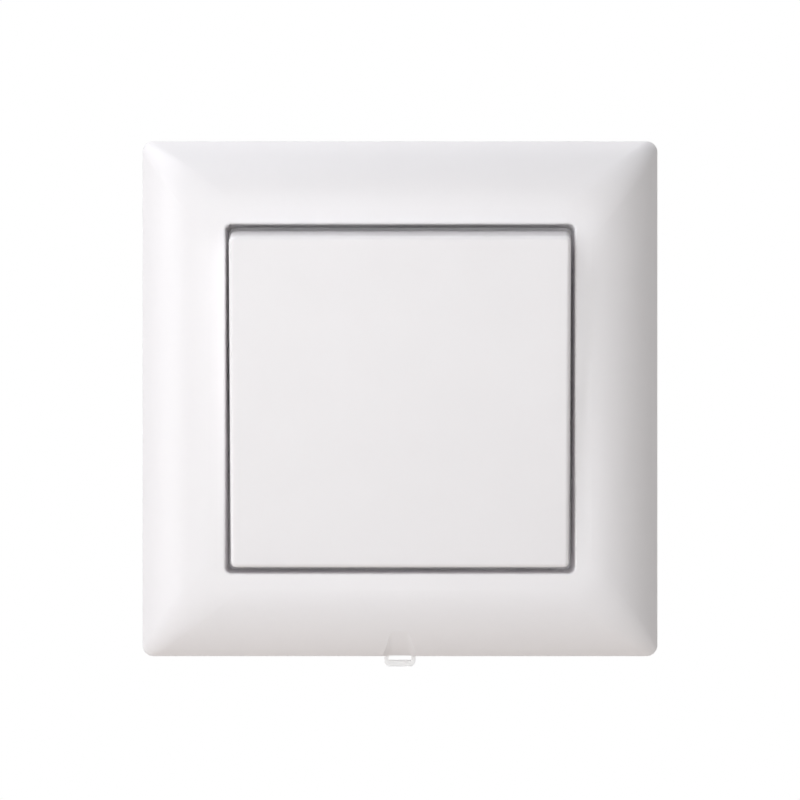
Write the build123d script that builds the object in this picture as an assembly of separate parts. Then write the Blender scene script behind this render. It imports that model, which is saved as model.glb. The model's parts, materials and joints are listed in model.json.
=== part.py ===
from build123d import *
import math
import os

# One-gang flush rocker switch with its cover frame, for a wall box with screws 60 mm apart.
# Millimetres, drawn face-on: x to the right, y up, z out of the wall, and the wall's surface is z = 0.
# Each finished piece is stood up at export, so that +Z is up and the face looks along -Y.

# Cover frame
FRAME_SIZE = 81.0
FRAME_HEIGHT = 10.0
FRAME_RIM_HEIGHT = 4.5
FRAME_CORNER_R = 1.7
FRAME_EDGE_R = 0.5
FRAME_WALL = 2.0
RIM_STANDOFF = 0.3
LAND_WIDTH = 2.6
LAND_CORNER_R = 5.0
CAVITY_CORNER_R = 1.0
CROWN_SECTIONS = 6
APERTURE_SIZE = 54.0
APERTURE_CORNER_R = 1.0
LIP_R = 0.35
SKIRT_WALL = 1.5
SEAT_THICKNESS = 1.8
SEAT_GAP = 0.2
RIB_THICKNESS = 1.2
RIB_SPACING = 16.0
SCREW_HEAD_R = 2.8
SCREW_HEAD_HEIGHT = 3.2

# Pry scoop in the frame's lower border, and the tab below it
SCOOP_WIDTH = 6.4
SCOOP_FLAT = 2.4
SCOOP_LENGTH = 4.4
SCOOP_R = 12.0
SCOOP_BREAK = 2.5
SCOOP_OVERRUN = 1.0
TAB_WIDTH = 4.9
TAB_REACH = 1.9
TAB_THICKNESS = 1.2
TAB_BAR = 0.9
TAB_LEG = 0.7
TAB_HEAD_WIDTH = 8.0
TAB_HEAD_LENGTH = 2.0
TAB_CLEARANCE = 0.2
TAB_CORNER_R = 0.9

# Rocker
ROCKER_SIDE_GAP = 0.9
ROCKER_END_GAP = 1.6
ROCKER_STANDS_OUT = 2.3
ROCKER_FACE = 1.8
ROCKER_RIM_GAP = 1.2
ROCKER_WALL = 1.6
ROCKER_SIDE_DRAFT = 2.5
ROCKER_END_DRAFT = 9.0
ROCKER_CORNER_R = 0.9
ROCKER_INNER_R = 0.6
ROCKER_EDGE_R = 0.7
ROCKER_RIB = 1.0
ROCKER_RIB_HEIGHT = 1.4
ROCKER_RIB_OFFSET = 19.5
ROCKER_TILT = 4.0
ARM_WIDTH = 6.0
ARM_THICKNESS = 1.2
ARM_SPACING = 20.0
ARM_NOSE = 0.6
ARM_NOSE_HEIGHT = 1.0

# Toggle cradle under the rocker
CRADLE_HEIGHT = 26.0
CRADLE_PLATE = 1.9
CRADLE_CORNER_R = 2.0
CHEEK_THICKNESS = 1.6
CHEEK_HEIGHT = 8.0
CHEEK_REACH = 1.9
CHEEK_GAP = 0.4
TRUNNION_R = 1.5
TRUNNION_FIT = 0.05
TUBE_R = 3.2
TUBE_BORE_R = 2.1
TUBE_REACH = 5.0
SNAP_FIT = 0.1

# Plunger and its spring
PLUNGER_FIT = 0.08
PLUNGER_TIP_R = 1.5
PLUNGER_LENGTH = 11.0
SPIGOT_R = 1.1
SPIGOT_LENGTH = 2.0
COIL_WIRE_R = 0.2
COIL_TURNS = 5
COIL_FIT = 0.15

# Support plate
PLATE_THICKNESS = 1.0
PLATE_ROOM = 0.5
PLATE_CORNER_R = 5.0
SCREW_SPACING = 60.0
SLOT_WIDTH = 4.2
SLOT_LENGTH = 8.0
SLOT_EDGE = 1.5
LUG_WIDTH = 8.0
LUG_LENGTH = 6.0
LUG_BEND_R = 0.4
LUG_RELIEF = 1.0
LUG_NOSE_WIDTH = 4.0
LUG_NOSE_REACH = 0.9
LUG_NOSE_HEIGHT = 2.0
LUG_NOSE_FIT = 0.15

# Base housing behind the plate
BODY_CHAMFER = 8.0
BODY_DEPTH = 23.0
BODY_WALL = 1.4
BODY_FLOOR = 3.0
BODY_FIT = 0.3
BODY_EDGE_R = 0.8
GAUGE_LENGTH = 11.0
GAUGE_WIDTH = 2.0
GAUGE_DEPTH = 0.6
GAUGE_OFFSET = 13.0
FLANGE_THICKNESS = 1.2
PARTITION = 1.2
CHAMBER_WIDTH = 15.0
CHAMBER_DEPTH = 8.0
CHAMBER_WALL_TOP = -4.0

# Front cover of the insert
SEAT_WIDTH = 3.2
FLANGE_REACH = 1.8
COVER_THICKNESS = 2.2
COVER_CORNER_R = 3.0
FRAME_FIT = 0.3
CATCH_REACH = 0.65
CATCH_HEIGHT = 1.0
CATCH_LENGTH = 6.0
CATCH_SPACING = 22.0
CATCH_GAP = 0.1
WINDOW_WIDTH = 13.0
WINDOW_HEIGHT = 15.0
PIVOT_DROP = 1.4
POST_THICKNESS = 3.2
POST_WIDTH = 7.0
POST_RISE = 2.2
POST_DROP = 2.6
POST_GAP = 0.3
POST_EDGE = 1.6
POST_MOUTH = 2.5
STOP_OFFSET = 10.6
STOP_WIDTH = 10.0
STOP_THICKNESS = 1.6
STOP_GAP = 0.08

# Cover screws
SCREW_EDGE = 2.25
SCREW_R = 1.25
SCREW_LENGTH = 9.0
SCREW_CAP_R = 2.2
SCREW_CAP_HEIGHT = 1.3
SCREW_FIT = 0.15
SCREW_DRIVE_WIDTH = 0.6
SCREW_DRIVE_LENGTH = 2.6
SCREW_DRIVE_DEPTH = 0.6
BOSS_R = 2.8

# Contacts
CONTACT_FLIP = 9.6
CONTACT_PIVOT = -10.0
CONTACT_WIDTH = 7.0
CONTACT_INSET = 3.6
CONTACT_END = 2.0
KNUCKLE_R = 1.0
KNUCKLE_FIT = 0.05
KNUCKLE_RISE = 0.2
SADDLE_WIDTH = 4.8
SADDLE_DROP = 0.4
STRIP = 0.8
STRIP_BEND_R = 0.8
TIP_R = 1.5
TIP_HEIGHT = 0.7
TIP_GAP = 0.04
THROW_GAP = 0.05

# Terminals
TERMINAL_WIDTH = 13.4
WIRE_HOLE_R = 1.5
WIRE_FUNNEL_R = 2.3
WIRE_FUNNEL_DEPTH = 1.2
WIRE_SPACING = 10.0
WIRE_OFFSET = 1.2
LEG_CLEARANCE = 0.6
CLAMP_SHEET = 0.35
CLAMP_WIDTH = 13.0
CLAMP_BEND_R = 0.8
CLAMP_LEAN = 40.0
CLAMP_TIP_GAP = 0.3
CLAMP_HEIGHT = 7.0
LEVER_WIDTH = 3.6
LEVER_LENGTH = 2.0
LEVER_PROUD = 1.0
LEVER_FIT = 0.12
LEVER_GAP = 0.2
LEVER_CREST = 0.7
LEVER_SHOULDER = 1.2
LEVER_SHOULDER_HEIGHT = 1.4
LEVER_GROOVE = 0.6

# Sizes, heights and offsets that follow from the sizes above
ROCKER_WIDTH = APERTURE_SIZE - 2 * ROCKER_SIDE_GAP
ROCKER_HEIGHT = APERTURE_SIZE - 2 * ROCKER_END_GAP
PLATE_SIZE = SCREW_SPACING + SLOT_LENGTH + 2 * SLOT_EDGE
COVER_SIZE = APERTURE_SIZE - 2 * SEAT_WIDTH
BODY_SIZE = COVER_SIZE - 2 * FLANGE_REACH
SCREW_OFFSET = (BODY_SIZE - BODY_CHAMFER) / 2 - SCREW_EDGE / math.sqrt(2)
ROCKER_FRONT = FRAME_HEIGHT + ROCKER_STANDS_OUT
ROCKER_BACK = ROCKER_FRONT - ROCKER_FACE
CRADLE_BACK = ROCKER_BACK - CRADLE_PLATE
FLANGE_FRONT = PLATE_THICKNESS + FLANGE_THICKNESS
COVER_FRONT = FLANGE_FRONT + COVER_THICKNESS
PIVOT = COVER_FRONT - PIVOT_DROP
TAB_BACK = PLATE_THICKNESS + TAB_CLEARANCE
SEAT_BACK = PLATE_THICKNESS + SEAT_GAP
SEAT_FRONT = SEAT_BACK + SEAT_THICKNESS
SEAT_OPENING = COVER_SIZE + 2 * FRAME_FIT
FLOOR = BODY_FLOOR - BODY_DEPTH
BODY_INSIDE = BODY_SIZE / 2 - BODY_WALL
PARTITION_OFFSET = BODY_INSIDE - CHAMBER_DEPTH
CONTACT_OFFSET = PARTITION_OFFSET - CONTACT_INSET
CONTACT_LENGTH = 2 * (CONTACT_OFFSET + CONTACT_END)
SADDLE_BACK = CONTACT_PIVOT - KNUCKLE_R - KNUCKLE_FIT - STRIP
LEG_FACE = PARTITION_OFFSET + PARTITION + STRIP
TRUNNION_END = BODY_INSIDE - POST_EDGE
CRADLE_WIDTH = 2 * (TRUNNION_END - POST_THICKNESS - POST_GAP)
PLUNGER_R = TUBE_BORE_R - PLUNGER_FIT
PLUNGER_TIP = CONTACT_PIVOT + KNUCKLE_RISE + STRIP + THROW_GAP
PLUNGER_BACK = PLUNGER_TIP + PLUNGER_LENGTH
TILT_AT_REST = Pos(0, 0, PIVOT) * Rot(X=ROCKER_TILT) * Pos(0, 0, -PIVOT)
UPPER_CLOSED = Pos(0, 0, CONTACT_PIVOT) * Rot(X=-CONTACT_FLIP)
LOWER_CLOSED = Pos(0, 0, CONTACT_PIVOT) * Rot(X=CONTACT_FLIP)
UPPER, LOWER, COMMON = Rot(Z=0), Rot(Z=180), Rot(Z=-90)
TERMINALS = {"upper": UPPER, "lower": LOWER, "common": COMMON}
CORNERS = [(-1, 1), (1, -1)]
TOLERANCE = 0.01


def prism(sketch, back, front):
    """A face-on sketch extruded between two heights above the wall."""
    return extrude(Pos(0, 0, back) * sketch, front - back)


def slab(width, height, back, front, x=0.0, y=0.0):
    """A square-edged block centred on x and y, between two heights."""
    return prism(Pos(x, y) * Rectangle(width, height), back, front)


def rod(radius, length, x=0.0, y=0.0, back=0.0):
    """A round bar that points out of the wall."""
    return prism(Pos(x, y) * Circle(radius), back, back + length)


def cross_rod(radius, length, height, x=0.0):
    """A round bar along x at a height above the wall."""
    return Pos(x, 0, height) * Rot(Y=90) * Cylinder(radius, length)


def side_profile(sketch, width):
    """A (y, z) sketch extruded along x, half to each side."""
    return extrude(Plane.YZ * sketch, width / 2, both=True)


def bent_strip(points, thickness, radius, width):
    """Sheet of even thickness bent along a line of (y, z) points."""
    return side_profile(trace(FilletPolyline(*points, radius=radius), thickness), width)


def body_outline(grow=0.0):
    """The insert's eight-sided outline, grown or shrunk all round."""
    square = Rectangle(BODY_SIZE + 2 * grow, BODY_SIZE + 2 * grow)
    return chamfer(square.vertices(), BODY_CHAMFER + grow * (2 - math.sqrt(2)))


def cover_outline():
    """The rounded square of the housing's flange and of the cover on it."""
    return RectangleRounded(COVER_SIZE, COVER_SIZE, COVER_CORNER_R)


def crown_radius():
    """Radius of the border's arc, which is level where it meets the flat land."""
    reach = (FRAME_SIZE - APERTURE_SIZE) / 2 - LAND_WIDTH
    drop = FRAME_HEIGHT - FRAME_RIM_HEIGHT
    return (reach ** 2 + drop ** 2) / (2 * drop)


def crown_height(offset, top, radius):
    """Height of the crowned border at a distance from the frame's centre line."""
    reach = offset - APERTURE_SIZE / 2 - LAND_WIDTH
    return top - radius + math.sqrt(radius ** 2 - reach ** 2)


def crowned_block(size, back, top, radius, corner_r):
    """Square block with a flat land in the middle and a border that falls in one arc."""
    land = APERTURE_SIZE + 2 * LAND_WIDTH
    angle = math.asin((size - land) / 2 / radius)
    sections = []
    for i in range(CROWN_SECTIONS + 1):
        share = i / CROWN_SECTIONS
        turn = angle * (1 - share)
        across = land + 2 * radius * math.sin(turn)
        height = top - radius * (1 - math.cos(turn))
        corner = corner_r + share * (LAND_CORNER_R - corner_r)
        sections.append(Pos(0, 0, height) * RectangleRounded(across, across, corner))
    rim = top - radius * (1 - math.cos(angle))
    return prism(RectangleRounded(size, size, corner_r), back, rim) + loft(sections)


def edges_at(shape, height):
    """The edges that lie level at a height above the wall."""
    return shape.edges().filter_by_position(Axis.Z, height - TOLERANCE, height + TOLERANCE)


def scoop():
    """Soft dish that rounds the lower border off more tightly and fades out to both sides."""
    edge = FRAME_SIZE / 2
    start = edge - SCOOP_LENGTH
    radius = crown_radius()
    lean = math.asin((start - APERTURE_SIZE / 2 - LAND_WIDTH) / radius) + math.radians(SCOOP_BREAK)
    y = SCOOP_R * math.sin(lean) - start
    z = crown_height(start, FRAME_HEIGHT, radius) - SCOOP_R * math.cos(lean)
    rim = math.hypot(edge + y, FRAME_RIM_HEIGHT - z)
    half = SCOOP_WIDTH / 2
    level = SCOOP_FLAT / 2
    floor = Line((-level, SCOOP_R), (level, SCOOP_R))
    left = Spline((-half, rim), floor @ 0, tangents=[(1, 0), (1, 0)])
    right = Spline(floor @ 1, (half, rim), tangents=[(1, 0), (1, 0)])
    back = Polyline(right @ 1, (half, 0), (-half, 0), left @ 0)
    kept = Pos(0, y, z) * revolve(make_face(left + floor + right + back), Axis.X)
    length = 2 * (SCOOP_LENGTH + SCOOP_OVERRUN)
    return slab(SCOOP_WIDTH, length, 0, FRAME_HEIGHT, 0, -edge) - kept


def screw_heads():
    """Room for the heads of the four box screws under the frame."""
    reach = SCREW_SPACING / 2
    heads = Part()
    for x, y in [(reach, 0), (-reach, 0), (0, reach), (0, -reach)]:
        heads += rod(SCREW_HEAD_R, SCREW_HEAD_HEIGHT, x, y, PLATE_THICKNESS)
    return heads


def cover_frame():
    radius = crown_radius()
    frame = crowned_block(FRAME_SIZE, RIM_STANDOFF, FRAME_HEIGHT, radius, FRAME_CORNER_R)
    frame = fillet(edges_at(frame, FRAME_RIM_HEIGHT), FRAME_EDGE_R)
    frame -= scoop()
    inside = FRAME_SIZE - 2 * FRAME_WALL
    hollow = crowned_block(inside, 0, FRAME_HEIGHT - FRAME_WALL, radius - FRAME_WALL, CAVITY_CORNER_R)
    skirt = APERTURE_SIZE + 2 * SKIRT_WALL
    core = RectangleRounded(skirt, skirt, APERTURE_CORNER_R + SKIRT_WALL)
    ribs = Sketch()
    for i in (-1.5, -0.5, 0.5, 1.5):
        ribs += Pos(0, i * RIB_SPACING) * Rectangle(FRAME_SIZE, RIB_THICKNESS)
        ribs += Pos(i * RIB_SPACING, 0) * Rectangle(RIB_THICKNESS, FRAME_SIZE)
    hollow -= prism(core + ribs, SEAT_BACK, FRAME_HEIGHT)
    frame -= hollow
    aperture = RectangleRounded(APERTURE_SIZE, APERTURE_SIZE, APERTURE_CORNER_R)
    frame -= prism(aperture, SEAT_FRONT, FRAME_HEIGHT + LIP_R)
    frame -= slab(SEAT_OPENING, SEAT_OPENING, 0, FRAME_HEIGHT)
    land = frame.faces().filter_by(Plane.XY).sort_by(Axis.Z)[-1]
    frame = fillet(land.inner_wires().edges(), LIP_R)
    frame -= screw_heads()
    room = PLATE_SIZE + 2 * PLATE_ROOM
    frame -= slab(room, room, 0, PLATE_THICKNESS + SEAT_GAP / 2)
    notch = TAB_WIDTH + 2 * TAB_CLEARANCE
    top = TAB_BACK + TAB_THICKNESS + TAB_CLEARANCE
    return frame - slab(notch, 2 * FRAME_WALL, 0, top, 0, -FRAME_SIZE / 2)


def release_tab():
    edge = -FRAME_SIZE / 2
    shoulder = edge + FRAME_WALL + TAB_CLEARANCE
    low = edge - TAB_REACH
    loop = Pos(0, (low + shoulder) / 2) * Rectangle(TAB_WIDTH, shoulder - low)
    loop = fillet(loop.vertices().group_by(Axis.Y)[0], TAB_CORNER_R)
    window = (low + TAB_BAR, edge + FRAME_WALL - TAB_LEG)
    across = TAB_WIDTH - 2 * TAB_LEG
    loop -= Pos(0, sum(window) / 2) * Rectangle(across, window[1] - window[0])
    loop += Pos(0, shoulder + TAB_HEAD_LENGTH / 2) * Rectangle(TAB_HEAD_WIDTH, TAB_HEAD_LENGTH)
    return prism(loop, TAB_BACK, TAB_BACK + TAB_THICKNESS)


def rocker_depth():
    """Depth that leaves the rim gap between the tilted rocker's lower rim and the frame's seat."""
    tilt = math.radians(ROCKER_TILT)
    front = PIVOT + (ROCKER_FRONT - PIVOT) * math.cos(tilt) - ROCKER_HEIGHT / 2 * math.sin(tilt)
    spread = math.tan(math.radians(ROCKER_END_DRAFT))
    return (front - SEAT_FRONT - ROCKER_RIM_GAP) / (math.cos(tilt) + spread * math.sin(tilt))


def rocker_block(front, back, inset, corner_r):
    """Block between two depths behind the rocker's front, which its drafts widen backwards."""
    sections = []
    for depth in (back, front):
        width = ROCKER_WIDTH / 2 - inset + depth * math.tan(math.radians(ROCKER_SIDE_DRAFT))
        height = ROCKER_HEIGHT / 2 - inset + depth * math.tan(math.radians(ROCKER_END_DRAFT))
        section = RectangleRounded(2 * width, 2 * height, corner_r)
        sections.append(Pos(0, 0, ROCKER_FRONT - depth) * section)
    return loft(sections, ruled=True)


def rocker():
    depth = rocker_depth()
    shell = rocker_block(0, depth, 0, ROCKER_CORNER_R)
    shell = fillet(shell.faces().sort_by(Axis.Z)[-1].edges(), ROCKER_EDGE_R)
    hollow = rocker_block(ROCKER_FACE, depth, ROCKER_WALL, ROCKER_INNER_R)
    ribs = Sketch()
    for side in (-1, 1):
        ribs += Pos(side * ROCKER_RIB_OFFSET, 0) * Rectangle(ROCKER_RIB, ROCKER_HEIGHT)
        ribs += Pos(0, side * ROCKER_RIB_OFFSET) * Rectangle(ROCKER_WIDTH, ROCKER_RIB)
    shell -= hollow - prism(ribs, ROCKER_BACK - ROCKER_RIB_HEIGHT, ROCKER_BACK)
    edge = CRADLE_HEIGHT / 2 + SNAP_FIT
    nose = CRADLE_BACK - SNAP_FIT
    tip = nose - ARM_NOSE_HEIGHT
    arm = Polyline(
        (edge, ROCKER_BACK),
        (edge, nose),
        (edge - ARM_NOSE, nose),
        (edge, tip),
        (edge + ARM_THICKNESS, tip),
        (edge + ARM_THICKNESS, ROCKER_BACK),
        close=True,
    )
    arm = side_profile(make_face(arm), ARM_WIDTH)
    for turn in (Rot(Z=0), Rot(Z=180)):
        for side in (-1, 1):
            shell += turn * Pos(side * ARM_SPACING / 2, 0, 0) * arm
    return TILT_AT_REST * shell


def toggle_cradle():
    plan = RectangleRounded(CRADLE_WIDTH, CRADLE_HEIGHT, CRADLE_CORNER_R)
    cradle = prism(plan, CRADLE_BACK, ROCKER_BACK)
    for side in (-1, 1):
        x = side * (CRADLE_WIDTH - CHEEK_THICKNESS) / 2
        cheek = Pos(0, PIVOT - CHEEK_REACH) * Rectangle(
            CHEEK_HEIGHT, CRADLE_BACK - PIVOT + CHEEK_REACH, align=(Align.CENTER, Align.MIN)
        )
        cheek = fillet(cheek.vertices().group_by(Axis.Y)[0], CHEEK_REACH)
        cradle += Pos(x, 0, 0) * side_profile(cheek, CHEEK_THICKNESS)
        length = TRUNNION_END - CRADLE_WIDTH / 2 + CHEEK_THICKNESS
        cradle += cross_rod(TRUNNION_R, length, PIVOT, side * (TRUNNION_END - length / 2))
    tube_back = PIVOT - TUBE_REACH
    cradle += rod(TUBE_R, CRADLE_BACK - tube_back, back=tube_back)
    cradle -= rod(TUBE_BORE_R, CRADLE_BACK - tube_back, back=tube_back)
    return TILT_AT_REST * cradle


def plunger():
    cone = PLUNGER_TIP + PLUNGER_TIP_R
    shaft = cone + PLUNGER_R
    profile = Polyline(
        (0, cone),
        (PLUNGER_TIP_R, cone),
        (PLUNGER_R, shaft),
        (PLUNGER_R, PLUNGER_BACK),
        (SPIGOT_R, PLUNGER_BACK),
        (SPIGOT_R, PLUNGER_BACK + SPIGOT_LENGTH),
        (0, PLUNGER_BACK + SPIGOT_LENGTH),
        close=True,
    )
    pin = revolve(Plane.XZ * make_face(profile), Axis.Z)
    pin += Pos(0, 0, cone) * Sphere(PLUNGER_TIP_R)
    return TILT_AT_REST * pin


def plunger_spring():
    back = PLUNGER_BACK + COIL_WIRE_R + COIL_FIT
    front = CRADLE_BACK - COIL_WIRE_R - COIL_FIT
    radius = TUBE_BORE_R - COIL_WIRE_R - COIL_FIT
    coil = Pos(0, 0, back) * Helix((front - back) / COIL_TURNS, front - back, radius)
    wire = Plane(origin=coil @ 0, z_dir=coil % 0) * Circle(COIL_WIRE_R)
    return TILT_AT_REST * sweep(wire, path=coil)


def support_plate():
    plan = RectangleRounded(PLATE_SIZE, PLATE_SIZE, PLATE_CORNER_R) - body_outline(BODY_FIT)
    slot = SlotOverall(SLOT_LENGTH, SLOT_WIDTH)
    reach = SCREW_SPACING / 2
    for turn in (0, 90, 180, 270):
        plan -= Rot(Z=turn) * Pos(reach, 0) * slot
    inner = BODY_SIZE / 2 + BODY_FIT
    bend = inner + PLATE_THICKNESS + LUG_BEND_R
    relief = Pos(0, bend / 2) * Rectangle(LUG_WIDTH + 2 * LUG_RELIEF, bend)
    plan -= relief + Rot(Z=180) * relief
    middle = PLATE_THICKNESS / 2
    line = [(bend + LUG_RELIEF, middle), (inner + middle, middle), (inner + middle, -LUG_LENGTH)]
    lug = bent_strip(line, PLATE_THICKNESS, LUG_BEND_R + middle, LUG_WIDTH)
    lug -= slab(
        LUG_NOSE_WIDTH + 2 * LUG_NOSE_FIT,
        BODY_SIZE,
        lug_nose_back() - LUG_NOSE_FIT,
        lug_nose_back() + LUG_NOSE_HEIGHT + LUG_NOSE_FIT,
        0,
        BODY_SIZE / 2,
    )
    return prism(plan, 0, PLATE_THICKNESS) + lug + Rot(Z=180) * lug


def lug_nose_back():
    """Height of the back of the housing's noses, which stand in the middle of the lugs."""
    return -(LUG_LENGTH + LUG_NOSE_HEIGHT) / 2


def wire_entry():
    """Two wire holes with funnels and the lever's slot, cut through the floor of one terminal."""
    cut = Part()
    for side in (-1, 1):
        x = side * WIRE_SPACING / 2
        y = LEG_FACE + WIRE_OFFSET
        cut += rod(WIRE_HOLE_R, BODY_FLOOR, x, y, -BODY_DEPTH)
        funnel = Cone(WIRE_FUNNEL_R, WIRE_HOLE_R, WIRE_FUNNEL_DEPTH)
        cut += Pos(x, y, WIRE_FUNNEL_DEPTH / 2 - BODY_DEPTH) * funnel
    width = LEVER_WIDTH + 2 * LEVER_FIT
    length = LEVER_LENGTH + 2 * LEVER_FIT
    return cut + slab(width, length, -BODY_DEPTH, FLOOR, 0, lever_middle())


def lever_middle():
    """Distance of a release lever from the insert's centre line."""
    return LEG_FACE + LEVER_GAP + LEVER_FIT + LEVER_LENGTH / 2


def chamber(run_back):
    """Walls of one terminal: a low partition that carries the strip, and two side walls."""
    middle = PARTITION_OFFSET + PARTITION / 2
    low = Pos(middle, (FLOOR + run_back) / 2) * Rectangle(PARTITION, run_back - FLOOR)
    bend = low.vertices().group_by(Axis.Y)[-1].sort_by(Axis.X)[-1]
    walls = side_profile(chamfer(bend, STRIP_BEND_R / 2), CHAMBER_WIDTH)
    length = BODY_INSIDE + BODY_WALL / 2 - PARTITION_OFFSET
    for side in (-1, 1):
        x = side * (CHAMBER_WIDTH + PARTITION) / 2
        walls += slab(PARTITION, length, FLOOR, CHAMBER_WALL_TOP, x, PARTITION_OFFSET + length / 2)
    return walls


def base_housing():
    housing = prism(body_outline(), -BODY_DEPTH, FLANGE_FRONT)
    housing = fillet(housing.edges().filter_by(Axis.Z), BODY_EDGE_R)
    housing = fillet(housing.faces().sort_by(Axis.Z)[0].edges(), BODY_EDGE_R)
    housing -= slab(GAUGE_WIDTH, GAUGE_LENGTH, -BODY_DEPTH, GAUGE_DEPTH - BODY_DEPTH, -GAUGE_OFFSET)
    housing += prism(cover_outline(), PLATE_THICKNESS, FLANGE_FRONT)
    housing -= prism(body_outline(-BODY_WALL), FLOOR, FLANGE_FRONT)
    face = BODY_SIZE / 2
    low = lug_nose_back()
    ramp = Polyline(
        (face, low),
        (face + LUG_NOSE_REACH, low + LUG_NOSE_HEIGHT),
        (face, low + LUG_NOSE_HEIGHT),
        close=True,
    )
    nose = side_profile(make_face(ramp), LUG_NOSE_WIDTH)
    housing += nose + Rot(Z=180) * nose
    for name, turn in TERMINALS.items():
        back = SADDLE_BACK if name == "common" else run_back()
        housing += turn * chamber(back)
        housing -= turn * wire_entry()
    housing += slab(CONTACT_WIDTH, SADDLE_WIDTH, FLOOR, SADDLE_BACK)
    for x, y in CORNERS:
        place = (x * SCREW_OFFSET, y * SCREW_OFFSET)
        boss = rod(BOSS_R, FLANGE_FRONT - FLOOR, *place, FLOOR) & prism(body_outline(), FLOOR, FLANGE_FRONT)
        depth = SCREW_LENGTH + SCREW_FIT
        housing += boss
        housing -= rod(SCREW_R + SCREW_FIT / 2, depth, *place, COVER_FRONT - depth)
    return housing


def housing_cover():
    cover = prism(cover_outline(), FLANGE_FRONT, COVER_FRONT)
    cover -= slab(WINDOW_WIDTH, WINDOW_HEIGHT, FLANGE_FRONT, COVER_FRONT)
    half = COVER_SIZE / 2
    low = SEAT_FRONT + CATCH_GAP
    catch = Polyline((half, low), (half + CATCH_REACH, low), (half, low + CATCH_HEIGHT), close=True)
    catch = side_profile(make_face(catch), CATCH_LENGTH)
    for turn in (Rot(Z=90), Rot(Z=-90)):
        for side in (-1, 1):
            cover += turn * Pos(side * CATCH_SPACING / 2, 0, 0) * catch
    post = slab(POST_THICKNESS, POST_WIDTH, PIVOT - POST_DROP, PIVOT + POST_RISE)
    span = POST_THICKNESS + 2 * POST_GAP
    bearing = cross_rod(TRUNNION_R + TRUNNION_FIT, span, PIVOT)
    bearing += slab(span, POST_MOUTH, PIVOT, PIVOT + POST_RISE)
    slot = slab(CHEEK_THICKNESS + 2 * POST_GAP, CHEEK_HEIGHT + 2 * CHEEK_GAP, FLANGE_FRONT, COVER_FRONT)
    stop = slab(STOP_WIDTH, STOP_THICKNESS, COVER_FRONT, stop_front(), 0, STOP_OFFSET)
    for side in (-1, 1):
        place = Pos(side * (TRUNNION_END - POST_THICKNESS / 2), 0, 0)
        cover += place * post
        cover -= place * bearing
        cover -= Pos(side * (CRADLE_WIDTH - CHEEK_THICKNESS) / 2, 0, 0) * slot
        cover += Rot(Z=90 - 90 * side) * stop
    for x, y in CORNERS:
        place = (x * SCREW_OFFSET, y * SCREW_OFFSET)
        cover -= rod(SCREW_R + SCREW_FIT, COVER_THICKNESS, *place, FLANGE_FRONT)
        cover -= rod(SCREW_CAP_R + SCREW_FIT, SCREW_CAP_HEIGHT, *place, COVER_FRONT - SCREW_CAP_HEIGHT)
    return cover


def stop_front():
    """Height at which the tilted cradle's back just clears the outer edge of a stop."""
    outer = STOP_OFFSET + STOP_THICKNESS / 2
    tilt = math.radians(ROCKER_TILT)
    back = CRADLE_BACK - PIVOT
    return PIVOT + (back - outer * math.sin(tilt)) / math.cos(tilt) - STOP_GAP


def cover_screws():
    screws = []
    for x, y in CORNERS:
        place = (x * SCREW_OFFSET, y * SCREW_OFFSET)
        cap_back = COVER_FRONT - SCREW_CAP_HEIGHT
        screw = rod(SCREW_R, SCREW_LENGTH, *place, COVER_FRONT - SCREW_LENGTH)
        screw += rod(SCREW_CAP_R, SCREW_CAP_HEIGHT, *place, cap_back)
        slot = Rectangle(SCREW_DRIVE_LENGTH, SCREW_DRIVE_WIDTH)
        screw -= prism(Pos(*place) * (slot + Rot(Z=90) * slot), COVER_FRONT - SCREW_DRIVE_DEPTH, COVER_FRONT)
        screws.append(screw)
    return Compound(screws)


def contact_rocker():
    low = KNUCKLE_RISE
    bridge = prism(Rot(Z=90) * SlotOverall(CONTACT_LENGTH, CONTACT_WIDTH), low, low + STRIP)
    bridge += cross_rod(KNUCKLE_R, CONTACT_WIDTH, 0)
    return UPPER_CLOSED * bridge


def moving_contact_tips():
    tips = [rod(TIP_R, TIP_HEIGHT, 0, side * CONTACT_OFFSET, KNUCKLE_RISE - TIP_HEIGHT) for side in (-1, 1)]
    return UPPER_CLOSED * Compound(tips)


def fixed_tip_back():
    """Height of a fixed tip's back from the see-saw's axis, in the closed see-saw's own tilt."""
    return KNUCKLE_RISE - 2 * TIP_HEIGHT - TIP_GAP


def fixed_contact_tips():
    upper = rod(TIP_R, TIP_HEIGHT, 0, CONTACT_OFFSET, fixed_tip_back())
    lower = rod(TIP_R, TIP_HEIGHT, 0, -CONTACT_OFFSET, fixed_tip_back())
    return Compound([UPPER_CLOSED * upper, LOWER_CLOSED * lower])


def closed_point(along):
    """A point of the output strip's middle line under a fixed tip, as (y, z)."""
    point = UPPER_CLOSED * Pos(0, along, fixed_tip_back() - STRIP / 2)
    return point.position.Y, point.position.Z


def run_back():
    """Height of the back of an output strip's level run."""
    return closed_point(CONTACT_OFFSET + TIP_R + LEG_CLEARANCE)[1] - STRIP / 2


def output_busbar():
    """Upper output strip: inclined contact seat, level run, and a leg down its chamber."""
    reach = TIP_R + LEG_CLEARANCE
    seat = closed_point(CONTACT_OFFSET - reach)
    bend = closed_point(CONTACT_OFFSET + reach)
    leg = LEG_FACE - STRIP / 2
    line = [seat, bend, (leg, bend[1]), (leg, FLOOR + LEG_CLEARANCE)]
    strip = bent_strip(line, STRIP, STRIP_BEND_R, TERMINAL_WIDTH)
    side = (TERMINAL_WIDTH - CONTACT_WIDTH) / 2
    for x in (-1, 1):
        trim = slab(side, PARTITION_OFFSET, FLOOR, 0, x * (CONTACT_WIDTH + side) / 2, PARTITION_OFFSET / 2)
        strip -= trim
    return strip


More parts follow.
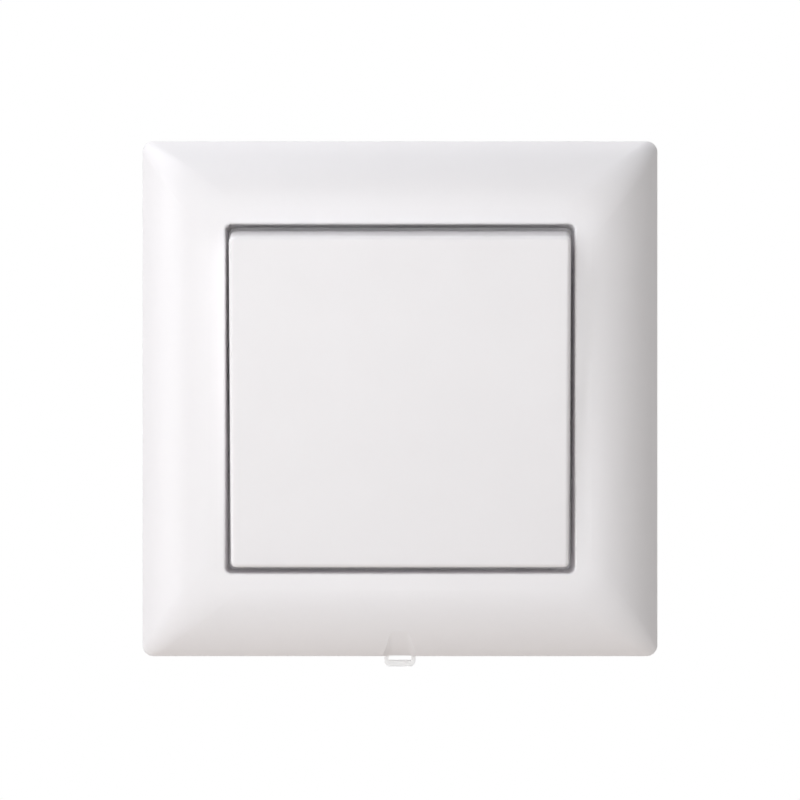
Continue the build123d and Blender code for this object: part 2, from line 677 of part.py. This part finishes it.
def common_busbar():
    """Strip with the see-saw's saddle in the middle and a leg down the right chamber."""
    middle = SADDLE_BACK + STRIP / 2
    leg = LEG_FACE - STRIP / 2
    line = [(-CONTACT_WIDTH / 2, middle), (leg, middle), (leg, FLOOR + LEG_CLEARANCE)]
    strip = bent_strip(line, STRIP, STRIP_BEND_R, TERMINAL_WIDTH)
    side = (TERMINAL_WIDTH - SADDLE_WIDTH) / 2
    span = PARTITION_OFFSET + CONTACT_WIDTH
    for x in (-1, 1):
        strip -= slab(side, span, FLOOR, 0, x * (SADDLE_WIDTH + side) / 2, PARTITION_OFFSET - span / 2)
    strip = COMMON * strip
    strip += slab(CONTACT_WIDTH, SADDLE_WIDTH, SADDLE_BACK, CONTACT_PIVOT - SADDLE_DROP)
    return strip - cross_rod(KNUCKLE_R + KNUCKLE_FIT, CONTACT_WIDTH, CONTACT_PIVOT)


def clamp_corner():
    """Point where the lines of a clamp's two legs would meet, as (y, z)."""
    bend = CLAMP_BEND_R / math.tan(math.radians(CLAMP_LEAN / 2))
    centre = FLOOR + CLAMP_BEND_R + CLAMP_SHEET
    return BODY_INSIDE - CLAMP_SHEET / 2, centre - bend


def clamp_spring():
    """Leaf against the chamber's outer wall, folded back so that its free leg leans on the busbar."""
    wall, corner = clamp_corner()
    lean = math.radians(CLAMP_LEAN)
    tip = LEG_FACE + CLAMP_TIP_GAP + CLAMP_SHEET / 2
    line = [(wall, FLOOR + CLAMP_HEIGHT), (wall, corner), (tip, corner + (wall - tip) / math.tan(lean))]
    return bent_strip(line, CLAMP_SHEET, CLAMP_BEND_R, CLAMP_WIDTH)


def release_lever():
    """Slide between the two wires whose wedge faces the clamp's free leg."""
    wall, corner = clamp_corner()
    lean = math.radians(CLAMP_LEAN)
    inner = lever_middle() - LEVER_LENGTH / 2
    outer = inner + LEVER_LENGTH
    slack = (CLAMP_SHEET / 2 + LEVER_GAP) / math.sin(lean)
    wedge = corner + (wall - outer) / math.tan(lean) - slack
    crest = inner + LEVER_CREST
    top = corner + (wall - crest) / math.tan(lean) - slack
    low = -BODY_DEPTH - LEVER_PROUD
    outline = Polyline(
        (inner, low), (outer, low), (outer, wedge), (crest, top), (inner, top), close=True
    )
    lever = side_profile(make_face(outline), LEVER_WIDTH)
    lever -= slab(LEVER_WIDTH, LEVER_GROOVE, low, low + LEVER_GROOVE, 0, lever_middle())
    width = LEVER_WIDTH + 2 * LEVER_SHOULDER
    return lever + slab(width, LEVER_LENGTH, FLOOR, FLOOR + LEVER_SHOULDER_HEIGHT, 0, lever_middle())


def main():
    pieces = {
        "cover_frame": cover_frame(),
        "release_tab": release_tab(),
        "rocker": rocker(),
        "toggle_cradle": toggle_cradle(),
        "plunger": plunger(),
        "plunger_spring": plunger_spring(),
        "support_plate": support_plate(),
        "base_housing": base_housing(),
        "housing_cover": housing_cover(),
        "cover_screws": cover_screws(),
        "contact_rocker": contact_rocker(),
        "moving_contact_tips": moving_contact_tips(),
        "fixed_contact_tips": fixed_contact_tips(),
        "upper_busbar": UPPER * output_busbar(),
        "lower_busbar": LOWER * output_busbar(),
        "common_busbar": common_busbar(),
    }
    for name, turn in TERMINALS.items():
        pieces[name + "_clamp_spring"] = turn * clamp_spring()
        pieces[name + "_release_lever"] = turn * release_lever()
    os.makedirs("parts", exist_ok=True)
    for name, piece in pieces.items():
        export_step(Rot(X=90) * piece, "parts/" + name + ".step")


if __name__ == "__main__":
    main()
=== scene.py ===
import json
import math

import bmesh
import bpy
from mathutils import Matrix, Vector


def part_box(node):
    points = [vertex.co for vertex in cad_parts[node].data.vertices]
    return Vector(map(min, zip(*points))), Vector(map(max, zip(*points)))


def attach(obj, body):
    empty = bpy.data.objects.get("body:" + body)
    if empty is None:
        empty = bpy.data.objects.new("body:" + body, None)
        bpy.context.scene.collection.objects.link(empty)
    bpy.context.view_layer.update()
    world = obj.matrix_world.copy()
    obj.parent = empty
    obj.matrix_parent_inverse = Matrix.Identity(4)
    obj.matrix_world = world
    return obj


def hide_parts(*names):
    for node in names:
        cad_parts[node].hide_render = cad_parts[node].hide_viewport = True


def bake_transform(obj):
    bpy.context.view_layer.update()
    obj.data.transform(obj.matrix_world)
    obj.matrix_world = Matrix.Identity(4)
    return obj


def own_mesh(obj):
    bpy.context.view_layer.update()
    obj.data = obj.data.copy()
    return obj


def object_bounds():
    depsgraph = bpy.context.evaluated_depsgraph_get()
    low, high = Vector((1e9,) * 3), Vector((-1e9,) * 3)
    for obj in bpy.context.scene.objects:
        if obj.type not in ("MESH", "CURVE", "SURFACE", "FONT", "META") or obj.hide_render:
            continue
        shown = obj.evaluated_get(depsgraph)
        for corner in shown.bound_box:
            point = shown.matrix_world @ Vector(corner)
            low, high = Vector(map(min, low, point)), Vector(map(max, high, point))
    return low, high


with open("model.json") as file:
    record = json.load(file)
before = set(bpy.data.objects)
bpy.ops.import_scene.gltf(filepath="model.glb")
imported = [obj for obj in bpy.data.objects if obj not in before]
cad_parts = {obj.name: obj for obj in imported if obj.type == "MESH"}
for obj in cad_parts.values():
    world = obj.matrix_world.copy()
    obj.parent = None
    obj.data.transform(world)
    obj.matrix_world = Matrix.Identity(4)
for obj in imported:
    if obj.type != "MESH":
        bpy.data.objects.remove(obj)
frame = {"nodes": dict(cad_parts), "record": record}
cad_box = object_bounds()
slot_of = {part["node"]: part["material_slot"] for part in frame["record"]["subparts"]}

# Metres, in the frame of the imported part: +Z is up and the switch faces -Y.
MM = 0.001

# Camera, straight in front of the face
SENSOR = 36.0
LENS = 85.7
CAMERA_DISTANCE = 0.304
CAMERA_HEIGHT = -0.0002

# Clamp springs: each one's way out from the middle, the depth of the outer leg and bend that stay
# still, and the number of cuts across its blade
CLAMP_SIDES = {"upper": (0, 0, 1), "lower": (0, 0, -1), "common": (1, 0, 0)}
CLAMP_ROOT = 1.6 * MM
BLADE_CUTS = 8

# Most of a noise texture's values lie between these.
NOISE_RANGE = (0.3, 0.7)

# Moulded plastics: two colours of a faint clouding, roughness, and size and depth of the grain
PLASTIC_IOR = 1.49
CLOUDING = 14 * MM
GLOSS_PATCH = 5 * MM
GLOSS_SPREAD = 0.04
PLASTICS = {
    "cover_plastic": dict(
        pale=(0.925, 0.91, 0.918),
        deep=(0.915, 0.9, 0.908),
        rough=0.36,
        grain=0.5 * MM,
        depth=0.004 * MM,
    ),
    "insert_plastic": dict(
        pale=(0.66, 0.66, 0.64),
        deep=(0.6, 0.6, 0.585),
        rough=0.55,
        grain=0.25 * MM,
        depth=0.015 * MM,
    ),
    "plunger_plastic": dict(
        pale=(0.82, 0.8, 0.74),
        deep=(0.76, 0.74, 0.68),
        rough=0.42,
        grain=0.4 * MM,
        depth=0.006 * MM,
    ),
    "lever_plastic": dict(
        pale=(0.075, 0.078, 0.085),
        deep=(0.05, 0.053, 0.06),
        rough=0.48,
        grain=0.25 * MM,
        depth=0.012 * MM,
    ),
}

# Frosted clear plastic of the small tab
TAB_CLEARNESS = 0.4
TAB_COLOURS = ((0.95, 0.95, 0.95), (0.98, 0.98, 0.975))
TAB_CLOUDING = 2 * MM
TAB_ROUGHNESS = (0.4, 0.55)
TAB_GLOSS_PATCH = 0.8 * MM
TAB_GRAIN = 0.3 * MM
TAB_GRAIN_DEPTH = 0.01 * MM

# Rolled metals: three colours of the patches in the surface, roughness, and width of the lines
METAL_PATCH = 6 * MM
LINE_STRETCH = (25, 1, 1)
LINE_DEPTH = 0.004 * MM
LINE_GLOSS_SPREAD = 0.1
METALS = {
    "plated_steel": dict(
        colours=((0.62, 0.64, 0.68), (0.7, 0.71, 0.72), (0.74, 0.73, 0.7)),
        rough=0.34,
        line=0.12 * MM,
    ),
    "spring_steel": dict(
        colours=((0.5, 0.5, 0.51), (0.58, 0.58, 0.58), (0.62, 0.61, 0.6)),
        rough=0.28,
        line=0.1 * MM,
    ),
    "contact_brass": dict(
        colours=((0.68, 0.5, 0.24), (0.76, 0.58, 0.3), (0.8, 0.63, 0.36)),
        rough=0.3,
        line=0.1 * MM,
    ),
    "contact_silver": dict(
        colours=((0.8, 0.79, 0.77), (0.87, 0.86, 0.84), (0.9, 0.89, 0.88)),
        rough=0.3,
        line=0.1 * MM,
    ),
}

# Floor: it fades to white between two distances, from a share of white that it has all over
FLOOR_DROP = 0.1
FLOOR_RADIUS = 0.9
FLOOR_SIDES = 96
FLOOR_FADE = (0.1, 0.25)
FLOOR_COLOUR = (0.67, 0.61, 0.56)
FLOOR_WHITE = 0.45
FLOOR_ROUGHNESS = 0.8

# Light: a low even light from the room, more from the backdrop, and square soft lamps
WHITE = (1.0, 1.0, 1.0)
ROOM_LIGHT = (0.05, 0.05, 0.05)
BACKDROP_LIGHT = (0.12, 0.12, 0.12)
LIGHT_BLEND = 0.3
DIFFUSE_BOUNCES = 16
MAX_BOUNCES = 24
# Place, width and watts of red, green and blue
LAMPS = {
    "front": ((-0.05, -0.48, 0.045), 0.35, (1.11, 1.125, 1.145)),
    "left": ((-0.4, -0.24, 0.05), 0.25, (0.44, 0.45, 0.463)),
    "top_left": ((-0.3, -0.15, 0.4), 0.35, (1.04, 1.04, 1.08)),
    "top_back": ((0.0, 0.15, 0.48), 0.35, (0.52, 0.51, 0.52)),
    "right_back": ((0.42, 0.34, 0.0), 0.35, (0.65, 0.65, 0.65)),
    "back": ((0.1, 0.48, 0.15), 0.35, (0.8, 0.8, 0.8)),
}
# Lamps that leave no hot spot on the steel plate
MATT_LAMPS = ("right_back", "back")

# Sockets of a Mix node for colours, which share their names with those for numbers
MIX_FIRST = 6
MIX_SECOND = 7
MIX_RESULT = 2


def map_range(tree, value, source, target=(0.0, 1.0)):
    """Node that takes a value from one range of numbers to another."""
    node = tree.nodes.new("ShaderNodeMapRange")
    for side, limits in (("From", source), ("To", target)):
        node.inputs[f"{side} Min"].default_value = limits[0]
        node.inputs[f"{side} Max"].default_value = limits[1]
    tree.links.new(value, node.inputs["Value"])
    return node


def calculate(tree, operation, first, second):
    """Result of two values, held between 0 and 1."""
    node = tree.nodes.new("ShaderNodeMath")
    node.operation = operation
    node.use_clamp = True
    tree.links.new(first, node.inputs[0])
    tree.links.new(second, node.inputs[1])
    return node.outputs["Value"]


def mix_colours(tree, share, first, second):
    """Blend of two colours, each a constant or a socket."""
    mix = tree.nodes.new("ShaderNodeMix")
    mix.data_type = "RGBA"
    tree.links.new(share, mix.inputs["Factor"])
    for index, colour in ((MIX_FIRST, first), (MIX_SECOND, second)):
        if isinstance(colour, tuple):
            mix.inputs[index].default_value = (*colour, 1.0)
        else:
            tree.links.new(colour, mix.inputs[index])
    return mix.outputs[MIX_RESULT]


def seen_directly(tree):
    """1 for rays from the camera, off a glossy surface or through a clear one."""
    path = tree.nodes.new("ShaderNodeLightPath")
    total = path.outputs["Is Camera Ray"]
    for kind in ("Is Glossy Ray", "Is Transmission Ray"):
        total = calculate(tree, "ADD", total, path.outputs[kind])
    return total


class Finish:
    """A node material with its shader, and object space in metres for its textures."""

    def __init__(self, name):
        self.material = bpy.data.materials.new(name)
        self.material.use_nodes = True
        self.tree = self.material.node_tree
        self.shader = self.tree.nodes["Principled BSDF"]
        self.place = self.tree.nodes.new("ShaderNodeTexCoord").outputs["Object"]

    def set(self, **values):
        for socket, value in values.items():
            self.shader.inputs[socket.replace("_", " ")].default_value = value

    def link(self, source, target):
        self.tree.links.new(source, target)

    def noise(self, size, detail=2.0, stretch=(1, 1, 1)):
        """Noise from 0 to 1 with patches of about one size, longer along a stretched axis."""
        mapping = self.tree.nodes.new("ShaderNodeMapping")
        mapping.inputs["Scale"].default_value = [1 / (size * s) for s in stretch]
        self.link(self.place, mapping.inputs["Vector"])
        texture = self.tree.nodes.new("ShaderNodeTexNoise")
        texture.inputs["Scale"].default_value = 1.0
        texture.inputs["Detail"].default_value = detail
        self.link(mapping.outputs["Vector"], texture.inputs["Vector"])
        return texture.outputs["Fac"]

    def colours(self, value, *colours):
        """Base colour that runs through the colours as a noise value rises."""
        ramp = self.tree.nodes.new("ShaderNodeValToRGB")
        stops = ramp.color_ramp.elements
        while len(stops) < len(colours):
            stops.new(1.0)
        first, last = NOISE_RANGE
        for i, colour in enumerate(colours):
            stops[i].position = first + (last - first) * i / (len(colours) - 1)
            stops[i].color = (*colour, 1.0)
        self.link(value, ramp.inputs["Fac"])
        self.link(ramp.outputs["Color"], self.shader.inputs["Base Color"])

    def roughness(self, value, low, high):
        """Roughness between two limits as a noise value rises."""
        limits = map_range(self.tree, value, NOISE_RANGE, (low, high))
        self.link(limits.outputs["Result"], self.shader.inputs["Roughness"])

    def relief(self, value, depth):
        """Surface relief of a depth in metres."""
        bump = self.tree.nodes.new("ShaderNodeBump")
        bump.inputs["Distance"].default_value = depth
        self.link(value, bump.inputs["Height"])
        self.link(bump.outputs["Normal"], self.shader.inputs["Normal"])


def satin_plastic(name, pale, deep, rough, grain, depth):
    """Moulded plastic with faint clouding and a fine even grain."""
    finish = Finish(name)
    finish.set(IOR=PLASTIC_IOR)
    finish.colours(finish.noise(CLOUDING, detail=3.0), deep, pale)
    gloss = finish.noise(GLOSS_PATCH, detail=3.0)
    finish.roughness(gloss, rough - GLOSS_SPREAD, rough + GLOSS_SPREAD)
    finish.relief(finish.noise(grain, detail=1.0), depth)
    return finish.material


def clear_plastic(name):
    """Frosted clear plastic with a soft grain."""
    finish = Finish(name)
    finish.set(IOR=PLASTIC_IOR, Transmission_Weight=TAB_CLEARNESS)
    finish.colours(finish.noise(TAB_CLOUDING), *TAB_COLOURS)
    finish.roughness(finish.noise(TAB_GLOSS_PATCH), *TAB_ROUGHNESS)
    finish.relief(finish.noise(TAB_GRAIN), TAB_GRAIN_DEPTH)
    return finish.material


def sheet_metal(name, colours, rough, line):
    """Rolled metal: long fine lines along x, and faint patches in its surface."""
    finish = Finish(name)
    finish.set(Metallic=1.0)
    finish.colours(finish.noise(METAL_PATCH, detail=5.0), *colours)
    lines = finish.noise(line, detail=3.0, stretch=LINE_STRETCH)
    finish.roughness(lines, rough - LINE_GLOSS_SPREAD, rough + LINE_GLOSS_SPREAD)
    finish.relief(lines, LINE_DEPTH)
    return finish.material


def finishes():
    """One material for each slot of the record."""
    materials = {"tab_plastic": clear_plastic("tab_plastic")}
    for name, look in PLASTICS.items():
        materials[name] = satin_plastic(name, **look)
    for name, look in METALS.items():
        materials[name] = sheet_metal(name, **look)
    return materials


def dress_nodes():
    """Gives each node of the part the finish of its slot."""
    materials = finishes()
    for name, slot_name in slot_of.items():
        for slot in frame["nodes"][name].material_slots:
            slot.material = materials[slot_name]


def flexing_copy(name):
    """Copy of a spring's node that stands for it, while the node itself is hidden."""
    piece = bpy.data.objects.new(name + "_flexing", frame["nodes"][name].data.copy())
    bpy.context.scene.collection.objects.link(piece)
    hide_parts(name)
    return piece


def reach(node, way):
    """How far a node goes out in a direction."""
    return max(Vector(corner).dot(way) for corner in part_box(node))


def add_clamp_spring(side, way):
    """Clamp spring copy, cut across its blade between its release lever's reach and its still leg.
    """
    way = Vector(way)
    name = f"{side}_clamp_spring"
    piece = flexing_copy(name)
    still = reach(name, way) - CLAMP_ROOT
    pressed = reach(f"{side}_release_lever", way)
    mesh = bmesh.new()
    mesh.from_mesh(piece.data)
    for i in range(BLADE_CUTS):
        level = pressed + (still - pressed) * i / BLADE_CUTS
        everything = mesh.verts[:] + mesh.edges[:] + mesh.faces[:]
        bmesh.ops.bisect_plane(mesh, geom=everything, plane_co=way * level, plane_no=way)
    mesh.to_mesh(piece.data)
    mesh.free()
    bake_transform(piece)


def add_plunger_spring():
    """Copy of the coil spring, held on the rocker's body with a mesh of its own."""
    piece = flexing_copy("plunger_spring")
    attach(piece, "rocker")
    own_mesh(piece)


def add_floor(low):
    """Pale round floor that shows shadows near the part and fades to white further out."""
    bpy.ops.mesh.primitive_circle_add(
        vertices=FLOOR_SIDES,
        radius=FLOOR_RADIUS,
        fill_type="NGON",
        location=(0, 0, low.z - FLOOR_DROP),
    )
    floor = bpy.context.object
    floor.name = "floor"
    finish = Finish("floor")
    finish.set(Base_Color=(*FLOOR_COLOUR, 1.0), Roughness=FLOOR_ROUGHNESS)
    tree = finish.tree
    distance = tree.nodes.new("ShaderNodeVectorMath")
    distance.operation = "LENGTH"
    finish.link(finish.place, distance.inputs[0])
    fade = map_range(tree, distance.outputs["Value"], FLOOR_FADE, (FLOOR_WHITE, 1.0))
    fade.interpolation_type = "SMOOTHSTEP"
    white = tree.nodes.new("ShaderNodeEmission")
    white.inputs["Strength"].default_value = 1.0
    blend = tree.nodes.new("ShaderNodeMixShader")
    share = calculate(tree, "MULTIPLY", seen_directly(tree), fade.outputs["Result"])
    finish.link(share, blend.inputs["Fac"])
    finish.link(finish.shader.outputs["BSDF"], blend.inputs[1])
    finish.link(white.outputs["Emission"], blend.inputs[2])
    finish.link(blend.outputs["Shader"], tree.nodes["Material Output"].inputs["Surface"])
    floor.data.materials.append(finish.material)


def add_world():
    """White surroundings to the eye, and a dim light on the part from the room and the backdrop."""
    world = bpy.data.worlds.new("studio")
    bpy.context.scene.world = world
    world.use_nodes = True
    tree = world.node_tree
    place = tree.nodes.new("ShaderNodeTexCoord").outputs["Generated"]
    direction = tree.nodes.new("ShaderNodeSeparateXYZ")
    tree.links.new(place, direction.inputs["Vector"])
    behind = map_range(tree, direction.outputs["Y"], (-LIGHT_BLEND, LIGHT_BLEND))
    light = mix_colours(tree, behind.outputs["Result"], ROOM_LIGHT, BACKDROP_LIGHT)
    shown = mix_colours(tree, seen_directly(tree), light, WHITE)
    tree.links.new(shown, tree.nodes["Background"].inputs["Color"])


def add_softbox(name, place, width, watts):
    """Square soft lamp turned to the middle of the part."""
    lamp = bpy.data.lights.new(name, "AREA")
    lamp.size = width
    lamp.energy = max(watts)
    lamp.color = [w / lamp.energy for w in watts]
    softbox = bpy.data.objects.new(name, lamp)
    bpy.context.scene.collection.objects.link(softbox)
    softbox.location = place
    softbox.rotation_euler = (-softbox.location).to_track_quat("-Z", "Y").to_euler()
    softbox.visible_camera = False
    softbox.visible_glossy = name not in MATT_LAMPS


def add_camera():
    """Camera level with the middle of the face."""
    camera = bpy.data.cameras.new("camera")
    camera.sensor_width = SENSOR
    camera.lens = LENS
    viewer = bpy.data.objects.new("camera", camera)
    bpy.context.scene.collection.objects.link(viewer)
    viewer.location = (0, -CAMERA_DISTANCE, CAMERA_HEIGHT)
    viewer.rotation_euler = (math.radians(90), 0, 0)
    bpy.context.scene.camera = viewer


dress_nodes()
for side, way in CLAMP_SIDES.items():
    add_clamp_spring(side, way)
add_plunger_spring()
add_floor(cad_box[0])
add_world()
for name, (place, width, watts) in LAMPS.items():
    add_softbox(name, place, width, watts)
add_camera()
bpy.context.scene.view_settings.view_transform = "Standard"
# White walls light each other deep inside the narrow gaps.
bpy.context.scene.cycles.diffuse_bounces = DIFFUSE_BOUNCES
bpy.context.scene.cycles.max_bounces = MAX_BOUNCES
